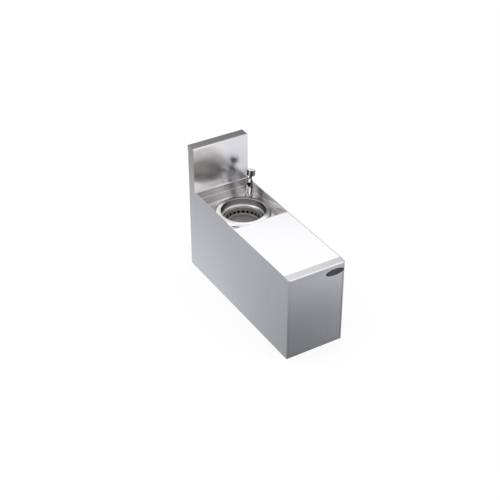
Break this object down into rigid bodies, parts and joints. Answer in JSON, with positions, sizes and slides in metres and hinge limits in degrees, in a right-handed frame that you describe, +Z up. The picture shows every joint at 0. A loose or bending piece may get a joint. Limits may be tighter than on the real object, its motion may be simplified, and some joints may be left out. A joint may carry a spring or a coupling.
{
  "type": "underbar sink",
  "caption": "Narrow stainless underbar sink cabinet with a flat work top, a recessed pan with a round bowl and lift-out strainer basket, a backsplash and a small knob faucet.",
  "frame": {"origin": "middle of the bounding box at the bottom", "axes": "+Y from the front to the backsplash, +X to the right as seen from the front, +Z up"},
  "size_m": [0.2032, 0.6096, 0.462],
  "materials": {
    "side_steel": "brushed up and down",
    "front_steel": "brushed up and down",
    "top_steel": "brushed from side to side",
    "pan_steel": "fine brushed",
    "splash_steel": "fine brushed, half mirror",
    "inner_steel": "mill finish",
    "bowl_steel": "satin, turned",
    "basket_steel": "satin",
    "drain_steel": "polished",
    "zinc_steel": "zinc plated",
    "faucet_chrome": "polished",
    "knob_chrome": "polished",
    "bare_brass": "machined",
    "black_rubber": "matte",
    "damping_rubber": "matte",
    "white_plastic": "matte",
    "white_ceramic": "glossy",
    "dark_plate": "satin"
  },
  "bodies": {
    "cabinet": {"left_side_panel": "side_steel", "right_side_panel": "side_steel", "front_panel": "front_steel", "work_top": "top_steel", "recess_pan": "pan_steel", "backsplash": "splash_steel", "back_cover": "inner_steel", "front_base_rail": "inner_steel", "rear_base_rail": "inner_steel", "leg_weld_nuts": "zinc_steel", "deck_stiffener": "inner_steel", "sound_pad": "damping_rubber", "blank_plate": "dark_plate", "bowl": "bowl_steel", "bowl_gasket": "black_rubber", "bowl_clamp_ring": "zinc_steel", "clamp_screws": "zinc_steel", "drain_body": "drain_steel", "drain_gasket": "black_rubber", "drain_washer": "white_plastic", "drain_locknut": "zinc_steel", "tailpiece": "faucet_chrome", "slip_washer": "white_plastic", "slip_nut": "faucet_chrome", "flange_gasket": "black_rubber", "faucet_flange": "faucet_chrome", "faucet_body": "faucet_chrome", "inlet_shank": "bare_brass", "shank_washer": "zinc_steel", "shank_locknut": "bare_brass", "spout": "faucet_chrome", "spout_seal": "black_rubber", "seat_seal": "black_rubber", "fixed_disc": "white_ceramic", "cartridge": "white_plastic", "stem_seal": "black_rubber", "bonnet": "faucet_chrome"},
    "knob": {"knob": "knob_chrome", "knob_screw": "zinc_steel", "knob_cap": "knob_chrome", "valve_stem": "bare_brass", "moving_disc": "white_ceramic"},
    "basket": {"strainer_basket": "basket_steel"}
  },
  "joints": [
    {"name": "knob_turn", "type": "hinge", "parent": "cabinet", "child": "knob", "pos_m": [0.06908, 0.20497, 0.282], "axis": [0.1948, 0.1125, 0.9744], "range_deg": [0, 90]},
    {"name": "basket_lift", "type": "slide", "parent": "cabinet", "child": "basket", "axis": [0, 0, 1], "range_m": [0, 0.09]}
  ]
}
